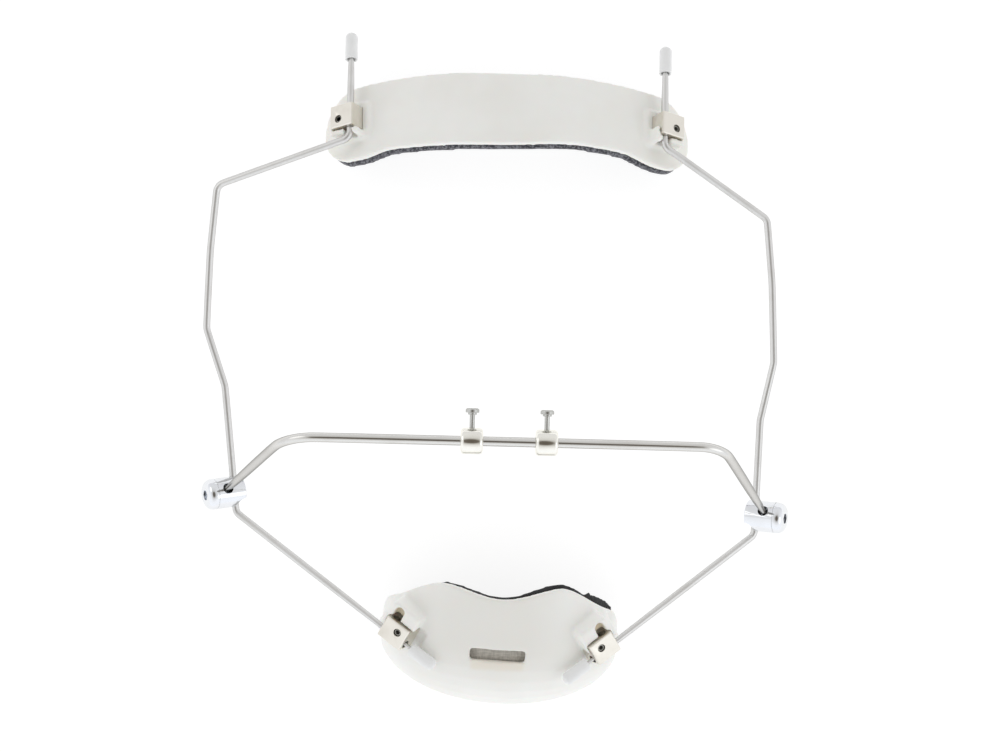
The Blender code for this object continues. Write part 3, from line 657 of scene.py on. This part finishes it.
def moulded(where, finish):
    """A moulded shell: its corners melt into fillets, and the blocks' pockets are cut sharp."""
    node = where + "_shell"
    blocks = [BlockBox(side + where + "_block") for side in ("left_", "right_")]
    thing = piece(merged(node, joined=False), node + "_moulded", node, finish, NO_EDGES)
    for block in blocks:
        boolean(thing, "UNION", block.plug(BARED[where]))
        boolean(thing, "DIFFERENCE", block.relief(BARED[where]))
        if where == "chin":
            boolean(thing, "UNION", block.notch_floor())
    remeshed(thing, SHELL_VOXEL)
    fillets = thing.vertex_groups.new(name="fillets")
    for vert in thing.data.vertices:
        fillets.add([vert.index], smoothing_share(vert.co), "REPLACE")
    softened(thing, SHELL_SMOOTHING, fillets.name)
    dip_edge(thing, where)
    for block in blocks:
        boolean(thing, "DIFFERENCE", block.pocket())
    thing.data.set_sharp_from_angle(angle=SHELL_ANGLE)


def swollen(thing):
    """Run a short cloth simulation under pressure, with each point's travel capped."""
    start = [vert.co.copy() for vert in thing.data.vertices]
    cloth = thing.modifiers.new("padding", "CLOTH")
    cloth.settings.quality = 6
    cloth.settings.mass = 0.02
    cloth.settings.use_pressure = True
    cloth.settings.uniform_pressure_force = PAD_PRESSURE
    cloth.settings.effector_weights.gravity = 0
    cloth.settings.tension_stiffness = 20
    cloth.settings.compression_stiffness = 20
    cloth.settings.bending_stiffness = 2
    cloth.point_cache.frame_end = PAD_FRAMES
    scene = bpy.context.scene
    for number in range(1, PAD_FRAMES + 1):
        scene.frame_set(number)
    apply_modifiers(thing)
    scene.frame_set(1)
    for vert, before in zip(thing.data.vertices, start):
        travel = vert.co - before
        if travel.length > PAD_SWELL:
            vert.co = before + travel.normalized() * PAD_SWELL
        if not math.isfinite(travel.length):
            vert.co = before


def pad(where, name, finish, shape):
    """A foam liner with a crowned face, made from the solid that holds its place."""
    node = where + "_liner"
    bm = merged(node, joined=False)
    bm.normal_update()
    for vert in bm.verts:
        vert.co -= vert.normal * PAD_SHRINK
    thing = piece(bm, name, node, finish, NO_EDGES)
    remeshed(thing, PAD_VOXEL)
    softened(thing, PAD_SMOOTHING)
    swollen(thing)
    dip_edge(thing, where)
    shape(thing)
    softened(thing, PAD_SMOOTHING)
    finer = thing.modifiers.new("finer", "SUBSURF")
    finer.levels = 1
    finer.render_levels = 1
    apply_modifiers(thing)
    thing.data.shade_smooth()


def lower_rim(thing):
    """Let the cloth show a little more below the forehead band."""
    for vert in thing.data.vertices:
        vert.co.y -= CLOTH_PEEP * smooth_step(-vert.normal.y, *CLOTH_FACING)


def raise_strip(thing):
    """Lift the rim of the black foam along the cup's right side, most at the shoulder tab."""
    for vert in thing.data.vertices:
        facing = smooth_step(vert.normal.dot(STRIP_SIDE), *STRIP_FACING)
        if facing == 0.0 or vert.co.y < STRIP_LOWEST:
            continue
        rise = STRIP_RISE * smooth_step(vert.co.x, STRIP_START, STRIP_FULL)
        rise += TAB_RISE * smooth_step(vert.co.x, TAB_START, TAB_FULL)
        vert.co += STRIP_LEAN * rise * facing


for where in ("forehead", "chin"):
    moulded(where, SHELL_IVORY)
pad("forehead", "forehead_pad_cloth", FOREHEAD_CLOTH, lower_rim)
pad("chin", "chin_pad_foam", CHIN_FOAM, raise_strip)
drawn_wire("crossbar", BAR_STEEL, CROSSBAR_RADIUS)
for side in ("left", "right"):
    drawn_wire(side + "_side_wire", SIDE_STEEL, SIDE_WIRE_RADIUS)
    for where in ("forehead", "chin"):
        clamp_block(side, where)
        eased(side + "_" + where + "_set_screw", SCREW_STEEL, TURNED_EDGE)
        eased(side + "_" + where + "_cap", CAP_RUBBER, CAP_EDGE)
    eased(side + "_barrel", BARREL_CHROME, SEAM_EDGE)
    dome_screw(side)
    eased(side + "_hook_collar", COLLAR_NICKEL, MACHINED_EDGE)
    eased(side + "_hook_screw", STUD_STEEL, TURNED_EDGE)


# Floor, light and camera

def floor():
    """A plain table, which glows a little so that it stays white."""
    bm = bmesh.new()
    bmesh.ops.create_grid(bm, x_segments=1, y_segments=1, size=TABLE_HALF)
    mesh = bpy.data.meshes.new("table")
    bm.to_mesh(mesh)
    bm.free()
    table = bpy.data.objects.new("table", mesh)
    bpy.context.collection.objects.link(table)
    glow = Finish("table_glow", Roughness=0.9, Base_Color=rgb(0.3, 0.3, 0.3),
                  Emission_Color=rgb(1.0, 1.0, 1.0), Emission_Strength=TABLE_GLOW)
    mesh.materials.append(glow.material)


def soft_light(name, place, colour):
    """A round lamp that faces the middle of the mask."""
    lamp = bpy.data.lights.new(name, "AREA")
    lamp.shape = "DISK"
    lamp.size = LAMP_SIZE
    lamp.energy = LAMP_POWER
    lamp.color = colour
    thing = bpy.data.objects.new(name, lamp)
    bpy.context.collection.objects.link(thing)
    thing.location = place
    thing.rotation_euler = (-Vector(place)).to_track_quat("-Z", "Y").to_euler()


def studio_sky():
    """A light tent: dark and warm where the camera looks in, brightest low on the chin's side."""
    world = bpy.data.worlds.new("studio")
    bpy.context.scene.world = world
    world.use_nodes = True
    sky = Network(world.node_tree)
    y, z = sky.axes(sky.node("ShaderNodeTexCoord", {}, {}, "Generated"))[1:]
    camera_side = ((0.965, (0.15, 0.135, 0.115)), (1.0, (0.11, 0.095, 0.08)))
    forehead_side = ((0.0, (0.70, 0.70, 0.71)), (0.3, (0.73, 0.73, 0.735)), (0.6, (0.72, 0.72, 0.715)),
                     (0.85, (0.62, 0.615, 0.605)), (0.93, (0.46, 0.45, 0.43)), *camera_side)
    chin_side = ((0.0, (0.95, 0.97, 1.0)), (0.3, (0.95, 0.97, 1.0)), (0.6, (0.93, 0.94, 0.955)),
                 (0.85, (0.73, 0.73, 0.73)), (0.93, (0.48, 0.47, 0.45)), *camera_side)
    towards_chin = (0.8 - y) * 0.7
    colour = sky.blend(towards_chin, sky.ramp(z, forehead_side), sky.ramp(z, chin_side))
    shader = sky.nodes["Background"]
    shader.inputs["Strength"].default_value = SKY_STRENGTH
    sky.links.new(colour.socket, shader.inputs["Color"])


def camera():
    data = bpy.data.cameras.new("camera")
    data.sensor_width = SENSOR
    data.lens = SENSOR * FOCAL_PIXELS / PICTURE_WIDTH
    data.clip_start = CLIP_START
    thing = bpy.data.objects.new("camera", data)
    bpy.context.collection.objects.link(thing)
    thing.location = CAMERA_PLACE
    thing.rotation_euler = (0, 0, CAMERA_TURN)
    bpy.context.scene.camera = thing


floor()
studio_sky()
soft_light("left_box", (-0.7, 0.3, 0.55), (1.0, 0.985, 0.96))
soft_light("right_box", (0.7, -0.2, 0.5), (0.95, 0.98, 1.0))
camera()
bpy.context.scene.view_settings.view_transform = "Standard"
bpy.context.scene.view_settings.exposure = 0.0
